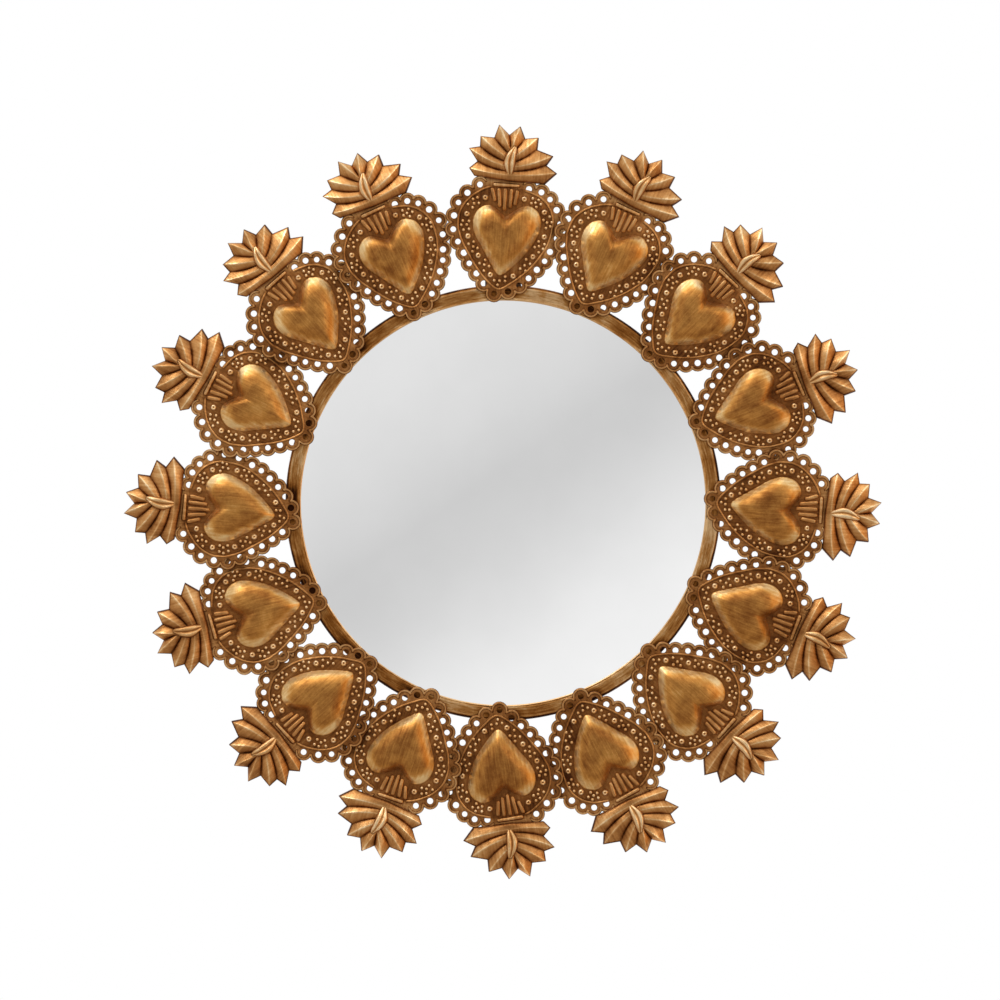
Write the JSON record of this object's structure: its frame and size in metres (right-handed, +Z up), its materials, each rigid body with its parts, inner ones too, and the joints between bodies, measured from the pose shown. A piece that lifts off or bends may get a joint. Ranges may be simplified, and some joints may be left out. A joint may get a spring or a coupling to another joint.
{
  "type": "metal mirror",
  "caption": "Round wall mirror in a thin metal ring, framed by a wreath of cast heart badges with beaded grounds, pierced lace edges and folded flames.",
  "frame": {"origin": "centre of the backing board's rear face, on the axis of the ring", "axes": "+Y out of the back, towards the wall; the mirror looks along -Y; +Z up; +X to the right as seen from the front"},
  "size_m": [0.5038, 0.0245, 0.5018],
  "materials": {
    "cast_badge": "antique, dark in the recesses, brushed on the heights",
    "ring_metal": "antique, brushed",
    "silvered_glass": "polished, silvered on the back",
    "board": "fibreboard",
    "packing": "matte",
    "zinc_steel": "zinc plated",
    "tab_metal": "bronze paint"
  },
  "bodies": {
    "mirror": {"badge_01": "cast_badge", "badge_02": "cast_badge", "badge_03": "cast_badge", "badge_04": "cast_badge", "badge_05": "cast_badge", "badge_06": "cast_badge", "badge_07": "cast_badge", "badge_08": "cast_badge", "badge_09": "cast_badge", "badge_10": "cast_badge", "badge_11": "cast_badge", "badge_12": "cast_badge", "badge_13": "cast_badge", "badge_14": "cast_badge", "badge_15": "cast_badge", "badge_16": "cast_badge", "ring_frame": "ring_metal", "mirror_glass": "silvered_glass", "backing_board": "board", "edge_packers": "packing", "button_studs": "zinc_steel", "button_nuts": "zinc_steel", "hanging_tab": "tab_metal", "wall_pads": "packing"},
    "button_1": {"turn_button_1": "zinc_steel"},
    "button_2": {"turn_button_2": "zinc_steel"},
    "button_3": {"turn_button_3": "zinc_steel"},
    "button_4": {"turn_button_4": "zinc_steel"}
  },
  "joints": [
    {"name": "button_1_turn", "type": "hinge", "parent": "mirror", "child": "button_1", "pos_m": [0.09914, 0.00066, 0.09914], "axis": [0, 1, 0], "continuous": true},
    {"name": "button_2_turn", "type": "hinge", "parent": "mirror", "child": "button_2", "pos_m": [0.09914, 0.00066, -0.09914], "axis": [0, 1, 0], "continuous": true},
    {"name": "button_3_turn", "type": "hinge", "parent": "mirror", "child": "button_3", "pos_m": [-0.09914, 0.00066, -0.09914], "axis": [0, 1, 0], "continuous": true},
    {"name": "button_4_turn", "type": "hinge", "parent": "mirror", "child": "button_4", "pos_m": [-0.09914, 0.00066, 0.09914], "axis": [0, 1, 0], "continuous": true}
  ]
}
